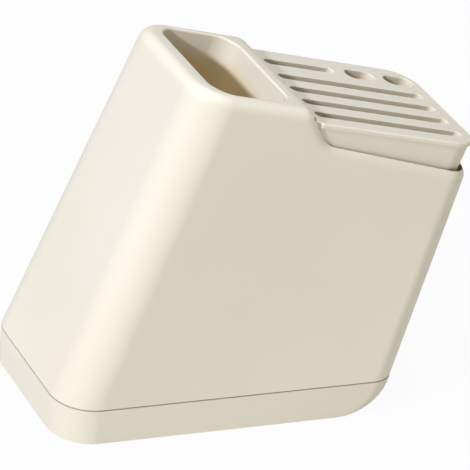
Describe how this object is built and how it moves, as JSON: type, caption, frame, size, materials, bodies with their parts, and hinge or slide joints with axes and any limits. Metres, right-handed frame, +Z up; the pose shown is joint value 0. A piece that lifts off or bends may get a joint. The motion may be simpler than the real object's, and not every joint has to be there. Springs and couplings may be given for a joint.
{
  "type": "knife and utensil holder",
  "caption": "Leaning countertop holder with an open utensil well and a lift-out slotted knife insert, standing on a shallow drip tray.",
  "frame": {"origin": "middle of the footprint of the whole, on the table under the feet", "axes": "+X along the long side, from the utensil well towards the knife slots, which is the way the holder leans; +Y to the rear; +Z up"},
  "size_m": [0.2582, 0.12, 0.2296],
  "materials": {
    "housing_plastic": "satin moulded plastic, warm cream",
    "insert_plastic": "satin moulded plastic, warm cream",
    "grate_plastic": "satin moulded plastic, warm cream",
    "tray_plastic": "satin moulded plastic, warm cream",
    "foot_rubber": "matt soft rubber, pale grey"
  },
  "bodies": {
    "tray": {"drip_tray": "tray_plastic", "foot_front_left": "foot_rubber", "foot_front_right": "foot_rubber", "foot_rear_left": "foot_rubber", "foot_rear_right": "foot_rubber"},
    "holder": {"housing": "housing_plastic", "drain_grate": "grate_plastic"},
    "insert": {"knife_insert": "insert_plastic"}
  },
  "joints": [
    {"name": "holder_lift", "type": "slide", "parent": "tray", "child": "holder", "axis": [0, 0, 1], "range_m": [0, 0.03]},
    {"name": "insert_lift", "type": "slide", "parent": "holder", "child": "insert", "axis": [0.2292, 0, 0.9734], "range_m": [0, 0.08]}
  ]
}
